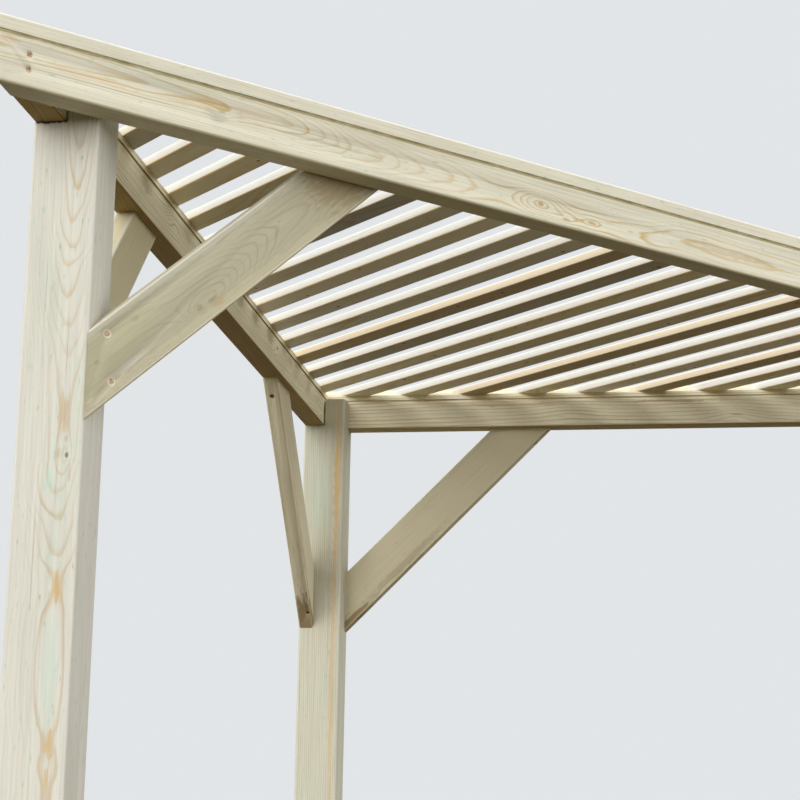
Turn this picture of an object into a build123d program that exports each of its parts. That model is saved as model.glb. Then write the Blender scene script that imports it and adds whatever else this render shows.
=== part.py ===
# Triangular corner pergola in softwood: three posts, three rails, six braces and a slatted roof.
# Millimetres, +Z up. The front rail runs along X on the -Y side and the corner post stands on +Y.
# The origin is on the ground, under the centre of the frame's bounding box.
import os
from math import atan2, cos, sin, sqrt

from build123d import *

# Frame
front_length = 3100.0  # outer face of the front rail, from sharp tip to sharp tip
clear_height = 2100.0  # ground to the underside of the rails

# Posts
post_width = 93.0
post_arris = 5.0  # rounding of the long edges
tongue_rise = 60.0  # post tongue above the underside of the rails
tongue_gap = 3.0  # between the tongue and the rails it stands behind

# Rails
rail_thickness = 45.0
rail_height = 94.0
rail_arris = 4.5  # rounding of the lower edges
rail_top_arris = 4.0
seat_depth = 20.0  # rebate on the inner side that the slats lie in
groove_width = 6.0
groove_depth = 3.0
groove_rounding = 2.4
outer_groove_rise = 70.0  # centre of the outer groove above the underside
inner_groove_rise = 64.0  # centre of the inner groove above the underside

# Braces
brace_thickness = 30.0
brace_arris = 3.0
side_brace_depth = 93.0
corner_brace_leg = 463.0  # reach along the rail and drop down the post
end_brace_leg = 434.0
side_brace_inset = 2.0  # in from the outer face of the rail
front_brace_depth = 91.0
front_brace_drop = 420.5
front_brace_reach = 468.5
front_brace_rise = 58.0  # lap behind the front rail

# Slats
slat_width = 45.0
slat_thickness = 16.0
slat_arris = 2.5
slats_each_side = 14
last_slat_to_tip = 260.75  # centre of the outermost slat from the sharp end of the front rail
slat_end_gap = 1.0  # between a slat's ends and the rails' upstands

# Places that follow from the sizes above
half_front = front_length / 2
y_front = -half_front / 2
y_corner = half_front / 2
rail_length = front_length / sqrt(2)
upstand = rail_thickness - seat_depth
seat_rise = rail_height - slat_thickness
y_front_inner = y_front + rail_thickness
first_slat = 0.5  # the two middle slats stand half a pitch either side of the centre
slat_pitch = (half_front - last_slat_to_tip) / (slats_each_side - first_slat)

# Directions along the left rail, from the corner to the front, and inwards from its outer face
along = Vector(-1, -1, 0).normalized()
inward = Vector(1, -1, 0).normalized()
corner = Vector(0, y_corner, clear_height)

# Front posts stand with one arris against the inner face of the front rail
front_post_start = rail_length - rail_thickness * sqrt(2) - 2 * post_width


def rail_profile(plane):
    """Cross-section of a rail: outer face on the plane's y axis, inner face at rail_thickness."""
    with BuildSketch(plane) as profile:
        with Locations((rail_thickness / 2, rail_height / 2)):
            Rectangle(rail_thickness, rail_height)
        lower = profile.vertices().group_by(Axis.Y)[0]
        fillet(lower, rail_arris)
        upper = profile.vertices().group_by(Axis.Y)[-1]
        fillet(upper, rail_top_arris)
        with Locations((rail_thickness, rail_height)):
            Rectangle(2 * seat_depth, 2 * slat_thickness, mode=Mode.SUBTRACT)
        with Locations((0, outer_groove_rise), (rail_thickness, inner_groove_rise)):
            RectangleRounded(2 * groove_depth, groove_width, groove_rounding, mode=Mode.SUBTRACT)
    return profile.sketch


def outer_plane(inset):
    """Vertical plane parallel to the left rail, inset from its outer face and facing inwards."""
    return Plane(origin=corner + inward * inset, x_dir=along, z_dir=inward)


def cross_plane(distance):
    """Vertical plane square to the left rail, at a distance from the corner, facing the front."""
    return Plane(origin=corner + along * distance, x_dir=inward, z_dir=along)


# Rails, cut to their mitres and butt joints
corner_mitre = Plane(origin=corner, x_dir=(0, 1, 0), z_dir=(-1, 0, 0))
front_butt = Plane(origin=(0, y_front_inner, clear_height), x_dir=(1, 0, 0), z_dir=(0, 1, 0))

with BuildPart() as left_rail:
    extrude(rail_profile(cross_plane(0)), amount=rail_length)
    split(bisect_by=corner_mitre, keep=Keep.TOP)
    split(bisect_by=front_butt, keep=Keep.TOP)

with BuildPart() as right_rail:
    add(left_rail.part.mirror(Plane.YZ))

front_section = Plane(origin=(-half_front, y_front, clear_height), x_dir=(0, 1, 0), z_dir=(1, 0, 0))
left_end = outer_plane(0)
right_end = Plane(origin=corner, x_dir=(1, -1, 0), z_dir=(-1, -1, 0))

with BuildPart() as front_rail:
    extrude(rail_profile(front_section), amount=front_length)
    split(bisect_by=left_end, keep=Keep.TOP)
    split(bisect_by=right_end, keep=Keep.TOP)


# Posts, with shoulders cut for the rails and a tongue left standing inside them
def post_section(distance):
    """Rounded square section of a post whose near side is at a distance from the corner."""
    middle = corner + along * (distance + post_width / 2) + inward * (post_width / 2)
    section = Plane(origin=(middle.X, middle.Y, 0), x_dir=inward, z_dir=(0, 0, 1))
    with BuildSketch(section) as square:
        RectangleRounded(post_width, post_width, post_arris)
    return square.sketch


shoulder = rail_thickness + tongue_gap
post_height = clear_height + tongue_rise

with BuildPart() as left_post:
    extrude(post_section(front_post_start), amount=post_height)
    with BuildSketch(Plane(origin=corner, x_dir=along, z_dir=(0, 0, 1))):
        with Locations((front_post_start + post_width / 2, shoulder / 2)):
            Rectangle(2 * post_width, shoulder)
    extrude(amount=2 * tongue_rise, mode=Mode.SUBTRACT)

with BuildPart() as right_post:
    add(left_post.part.mirror(Plane.YZ))

with BuildPart() as corner_post:
    extrude(post_section(0), amount=post_height)
    with BuildSketch(Plane(origin=corner, x_dir=along, z_dir=(0, 0, 1))):
        with Locations((post_width / 2, shoulder / 2)):
            Rectangle(2 * post_width, shoulder)
        with Locations((shoulder / 2, post_width / 2)):
            Rectangle(shoulder, 2 * post_width)
    extrude(amount=2 * tongue_rise, mode=Mode.SUBTRACT)


# Braces, sawn from a rounded board whose long edges slope between post and rail
def board(axis_plane, depth, length):
    """Board with rounded arrises, centred on the plane's origin and running along its normal."""
    with BuildPart() as blank:
        with BuildSketch(axis_plane):
            RectangleRounded(brace_thickness, depth, brace_arris)
        extrude(amount=length / 2, both=True)
    return blank.part


def side_brace(foot, heading, leg):
    """Brace under the left rail, from the post face at foot, leaning to the front (1) or back (-1)."""
    middle_inset = side_brace_inset + brace_thickness / 2
    reach = leg - side_brace_depth / sqrt(2)
    middle = corner + along * (foot + heading * reach / 2) + inward * middle_inset
    middle -= Vector(0, 0, reach / 2)
    slope = (along * heading + Vector(0, 0, 1)).normalized()
    axis_plane = Plane(origin=middle, x_dir=inward, z_dir=slope)
    with BuildPart() as brace:
        add(board(axis_plane, side_brace_depth, 2 * leg))
        split(bisect_by=Plane(corner, x_dir=along, z_dir=(0, 0, -1)), keep=Keep.TOP)
        split(bisect_by=Plane(corner + along * foot, x_dir=inward, z_dir=along * heading), keep=Keep.TOP)
    return brace.part


def front_brace():
    """Brace lapped behind the front rail, with its foot cut to the side face of the left post."""
    foot_x = -half_front + rail_thickness + post_width * sqrt(2)
    slope_angle = atan2(front_brace_drop, front_brace_reach)
    slope = Vector(cos(slope_angle), 0, sin(slope_angle))
    across = Vector(-sin(slope_angle), 0, cos(slope_angle))
    middle_y = y_front_inner + brace_thickness / 2
    lower_edge = Vector(foot_x + front_brace_reach / 2, middle_y, clear_height - front_brace_drop / 2)
    axis_plane = Plane(origin=lower_edge + across * (front_brace_depth / 2), x_dir=(0, 1, 0), z_dir=slope)
    lap_top = Plane(origin=(0, 0, clear_height + front_brace_rise), x_dir=(1, 0, 0), z_dir=(0, 0, -1))
    with BuildPart() as brace:
        add(board(axis_plane, front_brace_depth, 2 * front_brace_reach))
        split(bisect_by=lap_top, keep=Keep.TOP)
        split(bisect_by=outer_plane(post_width), keep=Keep.TOP)
    return brace.part


left_braces = {
    "corner": side_brace(post_width, 1, corner_brace_leg),
    "end": side_brace(front_post_start, -1, end_brace_leg),
    "front": front_brace(),
}


# Slats, parallel to Y, sawn at the ends to the rails they lie in
def slat(centre_x):
    """Slat left of the centre, from the front rail's upstand to the left rail's upstand."""
    section = Plane(
        origin=(centre_x, y_front + upstand + slat_end_gap, clear_height + seat_rise + slat_thickness / 2),
        x_dir=(1, 0, 0),
        z_dir=(0, 1, 0),
    )
    with BuildPart() as strip:
        with BuildSketch(section):
            RectangleRounded(slat_width, slat_thickness, slat_arris)
        extrude(amount=front_length)
        split(bisect_by=outer_plane(upstand + slat_end_gap), keep=Keep.TOP)
    return strip.part


nodes = {
    "left_post": left_post.part,
    "right_post": right_post.part,
    "corner_post": corner_post.part,
    "left_rail": left_rail.part,
    "right_rail": right_rail.part,
    "front_rail": front_rail.part,
}
for place, left_brace in left_braces.items():
    nodes["left_" + place + "_brace"] = left_brace
    nodes["right_" + place + "_brace"] = left_brace.mirror(Plane.YZ)
for row in range(slats_each_side):
    left_slat = slat(-(row + first_slat) * slat_pitch)
    nodes["left_slat_%02d" % (row + 1)] = left_slat
    nodes["right_slat_%02d" % (row + 1)] = left_slat.mirror(Plane.YZ)

os.makedirs("parts", exist_ok=True)
for name, solid in nodes.items():
    solid.label = name
    export_step(solid, "parts/" + name + ".step")
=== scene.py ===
"""Looks of a triangular corner pergola: pressure-treated softwood, screws, studio and camera.

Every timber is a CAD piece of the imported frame. Its wood is a solid pattern of growth rings about a
pith line of its own, so faces, edges and sawn ends agree. Lengths are metres in the row frame.
"""
import logging
import math
import random
from collections.abc import Callable
from dataclasses import dataclass, replace
from enum import Enum

import bpy
from mathutils import Matrix, Vector


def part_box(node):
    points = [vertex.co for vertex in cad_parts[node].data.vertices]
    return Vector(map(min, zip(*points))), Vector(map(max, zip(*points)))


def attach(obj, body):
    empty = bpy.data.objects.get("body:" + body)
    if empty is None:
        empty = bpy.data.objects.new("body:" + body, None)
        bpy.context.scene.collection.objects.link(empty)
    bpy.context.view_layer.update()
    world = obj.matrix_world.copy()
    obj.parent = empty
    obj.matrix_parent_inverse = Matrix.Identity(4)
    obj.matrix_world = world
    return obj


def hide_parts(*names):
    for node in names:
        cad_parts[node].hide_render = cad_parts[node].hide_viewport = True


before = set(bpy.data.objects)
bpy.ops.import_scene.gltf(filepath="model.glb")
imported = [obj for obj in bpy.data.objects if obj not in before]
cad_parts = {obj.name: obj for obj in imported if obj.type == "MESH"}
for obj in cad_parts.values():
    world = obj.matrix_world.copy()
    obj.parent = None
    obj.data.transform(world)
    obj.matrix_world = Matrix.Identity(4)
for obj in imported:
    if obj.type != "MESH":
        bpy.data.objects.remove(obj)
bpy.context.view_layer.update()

BODY = "root"
LOG = logging.getLogger("corner_pergola")

Colour = tuple[float, float, float]
Point = tuple[float, float, float]
Socket = bpy.types.NodeSocket
Inputs = dict[str | int, object]

HALF = math.sqrt(0.5)
UP: Point = (0.0, 0.0, 1.0)
DOWN: Point = (0.0, 0.0, -1.0)
FRONT: Point = (0.0, -1.0, 0.0)


def srgb(red: int, green: int, blue: int) -> Colour:
    """Turns a colour as seen on a screen into the linear values that a shader takes.

    Args:
        red: Red, 0 to 255.
        green: Green, 0 to 255.
        blue: Blue, 0 to 255.

    Returns:
        The three linear values.
    """
    def linear(value: int) -> float:
        """Returns one channel, linear."""
        share = value / 255
        return share / 12.92 if share <= 0.04045 else ((share + 0.055) / 1.055) ** 2.4

    return linear(red), linear(green), linear(blue)


class ShaderGraph:
    """Adds nodes to a node tree and links them, a line at a time."""

    skew = 1.7  # how much further a seed shifts a noise along its second axis

    def __init__(self, tree: bpy.types.NodeTree) -> None:
        """Takes over the node tree of a material or a world and empties it."""
        self.tree = tree
        self.tree.nodes.clear()

    def node(self, kind: str, inputs: Inputs | None = None, **settings: object) -> bpy.types.Node:
        """Adds a node.

        Args:
            kind: Type of the node, without its ShaderNode prefix.
            inputs: What its inputs are fed, by name or number.
            **settings: Properties to set on it.

        Returns:
            The new node.
        """
        made = self.tree.nodes.new("ShaderNode" + kind)
        for key, value in settings.items():
            setattr(made, key, value)
        for key, value in (inputs or {}).items():
            self.feed(made.inputs[key], value)
        return made

    def feed(self, socket: Socket, value: object) -> None:
        """Links a socket to an output, or sets its value.

        Args:
            socket: Input of a node.
            value: Output, number or colour.
        """
        if isinstance(value, bpy.types.NodeSocket):
            self.tree.links.new(value, socket)
        elif socket.type == "RGBA":
            socket.default_value = (*value, 1.0)
        else:
            socket.default_value = value

    def end(self, surface: Socket, output: str = "OutputMaterial") -> None:
        """Feeds a shader to the output of the tree."""
        self.node(output, {"Surface": surface})

    def math(self, operation: str, *values: object, clamp: bool = False) -> Socket:
        """Adds a Math node.

        Args:
            operation: Name of the operation.
            *values: Up to three numbers or outputs.
            clamp: Whether the result stays from 0 to 1.

        Returns:
            The result.
        """
        made = self.node("Math", operation=operation, use_clamp=clamp)
        for socket, value in zip(made.inputs, values):
            self.feed(socket, value)
        return made.outputs[0]

    def scaled(self, value: object, factor: object, added: object, clamp: bool = False) -> Socket:
        """Returns a value times a factor plus what is added."""
        return self.math("MULTIPLY_ADD", value, factor, added, clamp=clamp)

    def times(self, first: object, second: object) -> Socket:
        """Returns the product of two values."""
        return self.math("MULTIPLY", first, second)

    def less(self, first: object, second: object) -> Socket:
        """Returns the first value less the second."""
        return self.math("SUBTRACT", first, second)

    def step(self, value: Socket, low: float, high: float, top: float = 1.0) -> Socket:
        """Rises smoothly from 0 to a top as a value goes from low to high.

        Args:
            value: Value to read.
            low: Where the rise begins.
            high: Where it ends.
            top: Result from there on.

        Returns:
            The result.
        """
        inputs = {"Value": value, "From Min": low, "From Max": high, "To Max": top}
        return self.node("MapRange", inputs, interpolation_type="SMOOTHSTEP").outputs[0]

    def noise(self, vector: Socket, scale: Point, detail: float, seed: float = 0.0) -> Socket:
        """Adds a Noise Texture of its own scale along each axis.

        Args:
            vector: Where the noise is read.
            scale: Waves per metre along the three axes.
            detail: Octaves.
            seed: Shifts the pattern.

        Returns:
            The noise, about 0.5 on average.
        """
        shift = (seed, seed * self.skew, -seed)
        placed = self.node("Mapping", {"Vector": vector, "Scale": scale, "Location": shift})
        inputs = {"Vector": placed.outputs[0], "Scale": 1.0, "Detail": detail}
        return self.node("TexNoise", inputs, noise_dimensions="3D").outputs[0]

    def curve(self, value: Socket, points: list[tuple[float, float]]) -> Socket:
        """Reads a smooth curve drawn through points, without overshoot.

        Args:
            value: Place on the curve.
            points: Places and what the curve gives there, from low to high.

        Returns:
            The height of the curve.
        """
        low, high = points[0][0], points[-1][0]
        bottom = min(height for _, height in points)
        rise = max(height for _, height in points) - bottom
        share = self.scaled(value, 1 / (high - low), -low / (high - low), clamp=True)
        made = self.node("FloatCurve", {"Value": share})
        spots = [((place - low) / (high - low), (height - bottom) / rise) for place, height in points]
        line = made.mapping.curves[0]
        line.points[0].location = spots[0]
        line.points[1].location = spots[-1]
        for spot in spots[1:-1]:
            line.points.new(*spot)
        for point in line.points:
            point.handle_type = "AUTO_CLAMPED"
        made.mapping.update()
        return self.scaled(made.outputs[0], rise, bottom)

    def mix(self, factor: object, first: object, second: object, blend: str = "MIX") -> Socket:
        """Mixes two colours.

        Args:
            factor: Share of the second.
            first: Colour or output.
            second: Colour or output.
            blend: Blending mode.

        Returns:
            The mixed colour.
        """
        made = self.node("Mix", {0: factor}, data_type="RGBA", blend_type=blend)
        sockets = [socket for socket in made.inputs if socket.type == "RGBA"]
        for socket, value in zip(sockets, (first, second)):
            self.feed(socket, value)
        return next(socket for socket in made.outputs if socket.type == "RGBA")

    def shaded(self, colour: object, value: Socket) -> Socket:
        """Multiplies a colour by a brightness.

        Args:
            colour: Colour or output.
            value: Brightness.

        Returns:
            The shaded colour.
        """
        grey = self.node("CombineColor", {channel: value for channel in range(3)})
        return self.mix(1.0, colour, grey.outputs[0], "MULTIPLY")


def new_material(name: str) -> tuple[bpy.types.Material, ShaderGraph]:
    """Makes a material with an empty tree.

    Args:
        name: Name of the material.

    Returns:
        The material and the graph of its tree.
    """
    material = bpy.data.materials.new(name)
    material.use_nodes = True
    return material, ShaderGraph(material.node_tree)


@dataclass(frozen=True)
class Heart:
    """Where the pith of the log lies behind one place of a timber's face."""

    along: float  # place along the grain
    rings: float  # growth rings between the pith and the face
    across: float  # place across the face


@dataclass(frozen=True)
class Knot:
    """A branch that the timber was sawn through, or the swirl of rings near one."""

    along: float  # place along the grain
    across: float  # place across the face
    radius: float  # half its own width, 0 where only the rings swirl
    reach: float  # how far along the grain the rings bend round it
    spread: float  # how far across the grain they bend
    rings: float  # by how many rings the bulge rises at its middle


@dataclass(frozen=True)
class Mark:
    """A patch of another colour, drawn out along the grain."""

    along: float  # place along the grain
    across: float  # place across the face
    length: float  # half its length
    width: float  # half its width
    colour: Colour
    strength: float  # how much it covers


def course(*spots: Point) -> tuple[Heart, ...]:
    """Returns the course of a pith, from the places and rings of its hearts."""
    return tuple(Heart(*spot) for spot in spots)


@dataclass(frozen=True)
class WoodFinish:
    """Colours and surface of one sort of timber. Strengths go from 0 to about 1."""

    early: Colour  # pale wood between the ring lines
    late: Colour  # ring lines
    contrast: float  # strength of the ring lines
    glowing: float  # strength of the golden stretches
    tinting: float  # strength of the green flecks
    staining: float = 0.3  # strength of the weathering
    edging: float = 0.5  # strength of the painted highlight on the arrises
    streaking: float = 0.34  # strength of the fibre streaks
    relief: float = 0.5  # strength of the fibres' relief
    saw_marks: float = 0.0  # depth of rough sawing across the grain
    glow: Colour = srgb(205, 160, 84)  # golden stretches of the ring lines
    tint: Colour = srgb(168, 200, 176)  # flecks and patches left by the treatment
    stain: Colour = srgb(160, 148, 120)  # grey-brown weathering
    knot: Colour = srgb(128, 92, 58)  # heart of a knot
    edge: Colour = srgb(238, 236, 224)  # painted highlight on the arrises
    sole: Colour = srgb(214, 196, 148)  # golden painted shade in place of the highlight on the arrises that look down
    under: Colour = (1.0, 1.0, 1.0)  # painted shade or light: what faces that look down take of the colour


@dataclass(frozen=True)
class Grain:
    """How one timber was sawn out of its log."""

    origin: Point  # point on the timber's middle plane, from which places are counted
    along: Point  # direction of the grain
    face: Point  # outward normal of the face that shows the figure
    half: float  # half the thickness square to that face
    sides: tuple[float, float]  # where the two edges of that face lie across it
    hearts: tuple[Heart, ...]
    seed: float  # shifts every noise
    ring: float = 0.0038  # width of a growth ring
    warp: float = 0.006  # unevenness of the rings
    flank: float = 1.0  # how much of the ring lines is left away from the pith
    knots: tuple[Knot, ...] = ()
    marks: tuple[Mark, ...] = ()

    def axes(self) -> Matrix:
        """Returns the rows along the grain, across the face and out of it."""
        along, face = Vector(self.along).normalized(), Vector(self.face).normalized()
        return Matrix((along, face.cross(along), face))

    def handed(self, sign: int) -> "Grain":
        """Gives the grain to a timber of either hand.

        Args:
            sign: 1 leaves the grain as it is, -1 swaps the sides of the face.

        Returns:
            The grain of that hand.
        """
        spots = {
            name: tuple(replace(spot, across=sign * spot.across) for spot in getattr(self, name))
            for name in ("hearts", "knots", "marks")
        }
        return replace(self, sides=tuple(sorted(sign * side for side in self.sides)), **spots)


@dataclass(frozen=True)
class Pattern:
    """A noise in the wood."""

    along: float  # waves per metre along the grain
    across: float  # waves per metre across it
    octaves: float
    shift: float  # added to the timber's seed
    low: float = 0.0  # noise at which its patches begin
    high: float = 1.0  # noise at which they are full


class Wood:
    """Growth rings, knots and weathering of one timber, as a material."""

    broad = Pattern(4.0, 26.0, 2.0, 0.0)
    fine = Pattern(16.0, 190.0, 2.0, 7.7)
    faint = Pattern(3.0, 16.0, 2.0, 1.3, 0.3, 0.7)
    golden = Pattern(2.5, 20.0, 1.0, 31.0, 0.42, 0.68)
    weather = Pattern(2.0, 12.0, 3.0, 23.0, 0.48, 0.8)
    green = Pattern(5.0, 24.0, 2.0, 11.9, 0.5, 0.8)
    fleck = Pattern(55.0, 240.0, 1.0, 41.0, 0.62, 0.74)
    streak = Pattern(7.0, 300.0, 2.0, 5.5)
    check = Pattern(3.0, 340.0, 1.0, 60.0, 0.70, 0.78)
    fibre = Pattern(10.0, 380.0, 1.0, 8.8)
    teeth = Pattern(110.0, 14.0, 1.0, 2.2)
    fade = (0.008, 0.032)  # off the pith, where the ring lines begin and end to fade
    wobble = 0.0011  # fine unevenness of the rings
    summer = (0.35, 0.87)  # share of a ring where its line begins and is darkest
    sharpness = 3.0  # how late in the ring the line darkens
    years = (0.6, 0.5)  # range and least of how dark the line of a year is
    stretches = (0.6, 0.6)  # range and least of how clear a stretch of the lines is
    green_share = 0.4  # strength of the green patches, as a share of the flecks'
    raggedness = 1.2  # how torn the edge of a mark is
    mark_edge = (0.25, 0.75)
    knot_edge = (0.2, 0.75)
    knot_length = 1.5  # length of a knot's heart over its width
    knot_strength = 0.8
    check_strength = 0.45
    arris = (0.005, 0.001)  # off the edge, where its painted arris highlight begins and is full
    sole_tilt = (0.08, 0.35)  # how far a surface looks down where the painted arris highlight turns to golden painted shade
    under_tilt = (0.2, 0.8)  # the same, where a face takes the painted shade or light of the underside
    roughness = 0.72
    line_gloss = -0.08  # what a ring line adds to the roughness
    fibre_roughness = 0.12
    gloss = 0.25
    line_height = 0.5  # height of a ring line over that of the fibres
    saw_angle = 0.5
    height = 0.0005

    def __init__(self, name: str, finish: WoodFinish, grain: Grain) -> None:
        """Builds the material.

        Args:
            name: Name of the material.
            finish: Colours and surface.
            grain: Where the timber lay in its log.
        """
        self.finish = finish
        self.grain = grain
        self.material, self.graph = new_material(name)
        self.place = self._place()
        self.along, self.across, self.out = self.graph.node("SeparateXYZ", {0: self.place}).outputs
        self._surface(self._ring_line(self._rings()))

    def _place(self) -> Socket:
        """Turns object coordinates into the timber's own axes.

        Returns:
            The point along the grain, across the face and out of it.
        """
        axes = self.grain.axes()
        return self.graph.node("Mapping", {
            "Vector": self.graph.node("TexCoord").outputs["Object"],
            "Rotation": axes.to_euler("XYZ"),
            "Location": -(axes @ Vector(self.grain.origin)),
        }).outputs[0]

    def _noise(self, pattern: Pattern, place: Socket | None = None) -> Socket:
        """Adds a noise in the timber's own axes.

        Args:
            pattern: The noise.
            place: Where it is read, if not at the plain point.

        Returns:
            The noise.
        """
        scale = (pattern.along, pattern.across, pattern.across)
        seed = self.grain.seed + pattern.shift
        return self.graph.noise(place or self.place, scale, pattern.octaves, seed)

    def _patches(self, pattern: Pattern, strength: float = 1.0) -> Socket:
        """Returns how much the patches of a pattern cover."""
        return self.graph.step(self._noise(pattern), pattern.low, pattern.high, strength)

    def _blob(self, along: float, across: float, length: float, width: float) -> Socket:
        """Makes a soft elliptic bump.

        Args:
            along: Place along the grain.
            across: Place across the face.
            length: Half its length.
            width: Half its width.

        Returns:
            Its height, 1 at its middle.
        """
        graph = self.graph
        long = graph.scaled(self.along, 1 / length, -along / length)
        wide = graph.scaled(self.across, 1 / width, -across / width)
        square = graph.scaled(long, long, graph.times(wide, wide))
        return graph.math("EXPONENT", graph.times(square, -1.0))

    def _rings(self) -> Socket:
        """Counts the rings from the pith outwards, and notes where their lines stay clear.

        Returns:
            How many rings lie between the pith and each point.
        """
        graph, grain = self.graph, self.grain
        depth = graph.curve(self.along, [(heart.along, heart.rings) for heart in grain.hearts])
        line = graph.curve(self.along, [(heart.along, heart.across) for heart in grain.hearts])
        side = graph.less(self.across, line)
        faded = graph.step(graph.math("ABSOLUTE", side), *self.fade, 1.0 - grain.flank)
        self.clear = graph.less(1.0, faded)
        under = graph.scaled(depth, grain.ring, graph.less(self.out, grain.half))
        radius = graph.math("SQRT", graph.scaled(under, under, graph.times(side, side)))
        for pattern, width in ((self.broad, grain.warp), (self.fine, self.wobble)):
            radius = graph.scaled(graph.less(self._noise(pattern), 0.5), width, radius)
        rings = graph.math("DIVIDE", radius, grain.ring)
        for knot in grain.knots:
            bulge = self._blob(knot.along, knot.across, knot.reach, knot.spread)
            rings = graph.scaled(bulge, -knot.rings, rings)
        return rings

    def _ring_line(self, rings: Socket) -> Socket:
        """Draws the summer wood of each ring.

        Args:
            rings: Rings between the pith and each point.

        Returns:
            How dark the wood is, 0 to 1.
        """
        graph = self.graph
        start, darkest = self.summer
        share = graph.math("FRACT", rings)
        rise = graph.math("POWER", graph.step(share, start, darkest), self.sharpness)
        fall = graph.less(1.0, graph.step(share, darkest, 1.0))
        number = graph.math("ADD", graph.math("FLOOR", rings), self.grain.seed)
        year = graph.node("TexWhiteNoise", {"W": number}, noise_dimensions="1D")
        weight = graph.times(graph.scaled(year.outputs["Value"], *self.years), self.clear)
        return graph.times(graph.times(rise, fall), weight)

    def _colour(self, band: Socket) -> Socket:
        """Paints the wood, from its ring lines to its knots.

        Args:
            band: How dark the ring lines are.

        Returns:
            The colour.
        """
        graph, finish = self.graph, self.finish
        strength = graph.times(graph.scaled(self._patches(self.faint), *self.stretches), finish.contrast)
        line = graph.math("MULTIPLY", band, strength, clamp=True)
        late = graph.mix(self._patches(self.golden, finish.glowing), finish.late, finish.glow)
        colour = graph.mix(line, finish.early, late)
        colour = graph.mix(self._patches(self.weather, finish.staining), colour, finish.stain)
        greening = finish.tinting * self.green_share
        colour = graph.mix(self._patches(self.green, greening), colour, finish.tint)
        fleck = self._noise(self.fleck)
        flecked = graph.step(fleck, self.fleck.low, self.fleck.high, finish.tinting)
        colour = graph.mix(flecked, colour, finish.tint)
        for mark in self.grain.marks:
            patch = self._blob(mark.along, mark.across, mark.length, mark.width)
            ragged = graph.scaled(graph.less(fleck, 0.5), self.raggedness, patch)
            colour = graph.mix(graph.step(ragged, *self.mark_edge, mark.strength), colour, mark.colour)
        for knot in self.grain.knots:
            if knot.radius > 0:
                heart = self._blob(knot.along, knot.across, knot.radius * self.knot_length, knot.radius)
                cover = graph.step(heart, *self.knot_edge, self.knot_strength)
                colour = graph.mix(cover, colour, finish.knot)
        return self._weather_and_painted_light(colour)

    def _near_edge(self, place: Socket, reach: float) -> Socket:
        """Shows how near a place is to an edge.

        Args:
            place: Place between the edges, which lie at -1 and 1.
            reach: Half the distance between them.

        Returns:
            0 away from the edge, 1 on it.
        """
        start, full = self.arris
        away = self.graph.math("ABSOLUTE", place)
        return self.graph.step(away, 1 - start / reach, 1 - full / reach)

    def _weather_and_painted_light(self, colour: Socket) -> Socket:
        """Adds fibre streaks, drying checks, a painted highlight on the arrises and painted shade or light on
        the faces that look down.

        Args:
            colour: Colour of the wood.

        Returns:
            The weathered colour, with its painted highlight, shade and light.
        """
        graph, finish, grain = self.graph, self.finish, self.grain
        streak = graph.scaled(self._noise(self.streak), finish.streaking, 1.0 - finish.streaking / 2)
        colour = graph.shaded(colour, streak)
        colour = graph.mix(self._patches(self.check, self.check_strength), colour, finish.stain)
        centre = sum(grain.sides) / 2
        reach = (grain.sides[1] - grain.sides[0]) / 2
        side_edge = self._near_edge(graph.scaled(self.across, 1 / reach, -centre / reach), reach)
        face_edge = self._near_edge(graph.math("DIVIDE", self.out, grain.half), grain.half)
        # painted highlight along the arrises: pale where they look up or sideways, golden painted shade where
        # they look down
        arris = graph.times(side_edge, face_edge)
        facing = graph.node("SeparateXYZ", {0: graph.node("NewGeometry").outputs["Normal"]})
        downward = graph.times(facing.outputs["Z"], -1.0)
        arris_highlight_colour = graph.mix(graph.step(downward, *self.sole_tilt), finish.edge, finish.sole)
        colour = graph.mix(graph.times(arris, finish.edging), colour, arris_highlight_colour)
        # painted shade or light on the faces that look down: their colour times the finish's under
        shaded = graph.mix(1.0, colour, finish.under, "MULTIPLY")
        return graph.mix(graph.step(downward, *self.under_tilt), colour, shaded)

    def _surface(self, band: Socket) -> None:
        """Builds the shader: colour, roughness and relief.

        Args:
            band: How dark the ring lines are.
        """
        graph, finish = self.graph, self.finish
        fibre = self._noise(self.fibre)
        rough = graph.scaled(band, self.line_gloss, self.roughness)
        height = graph.scaled(band, self.line_height, fibre)
        if finish.saw_marks > 0:
            tilt = (0.0, 0.0, self.saw_angle)
            tilted = graph.node("Mapping", {"Vector": self.place, "Rotation": tilt}).outputs[0]
            height = graph.scaled(self._noise(self.teeth, tilted), finish.saw_marks, height)
        bump = {"Strength": finish.relief, "Distance": self.height, "Height": height}
        graph.end(graph.node("BsdfPrincipled", {
            "Base Color": self._colour(band),
            "Roughness": graph.scaled(fibre, self.fibre_roughness, rough),
            "Specular IOR Level": self.gloss,
            "Normal": graph.node("Bump", bump).outputs[0],
        }).outputs[0])


def dress(node: str, finish: WoodFinish, grain: Grain) -> None:
    """Gives a CAD timber its wood.

    Args:
        node: Name of the timber.
        finish: Colours and surface of its wood.
        grain: How it was sawn out of its log.
    """
    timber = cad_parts[node]
    timber.data.materials.clear()
    timber.data.materials.append(Wood(node + "_wood", finish, grain).material)
    LOG.info("dressed %s", node)


class Side(Enum):
    """The two halves of the frame, as signs of X."""

    LEFT = -1
    RIGHT = 1

    @property
    def word(self) -> str:
        """The side's name, as the nodes have it."""
        return self.name.lower()

    def mirror(self, vector: Point) -> Point:
        """Returns a vector of the left half as it is on this side."""
        return (-self.value * vector[0], vector[1], vector[2])


class Lean(Enum):
    """The post that a side brace stands at, as the sign of its lean along the rail."""

    CORNER = 1
    END = -1

    def node(self, side: Side) -> str:
        """Returns the name of the brace, after the post that it stands at."""
        return f"{side.word}_{self.name.lower()}_brace"


def middle(node: str) -> Vector:
    """Returns the centre of a node's box."""
    low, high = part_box(node)
    return (Vector(low) + Vector(high)) / 2


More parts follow.
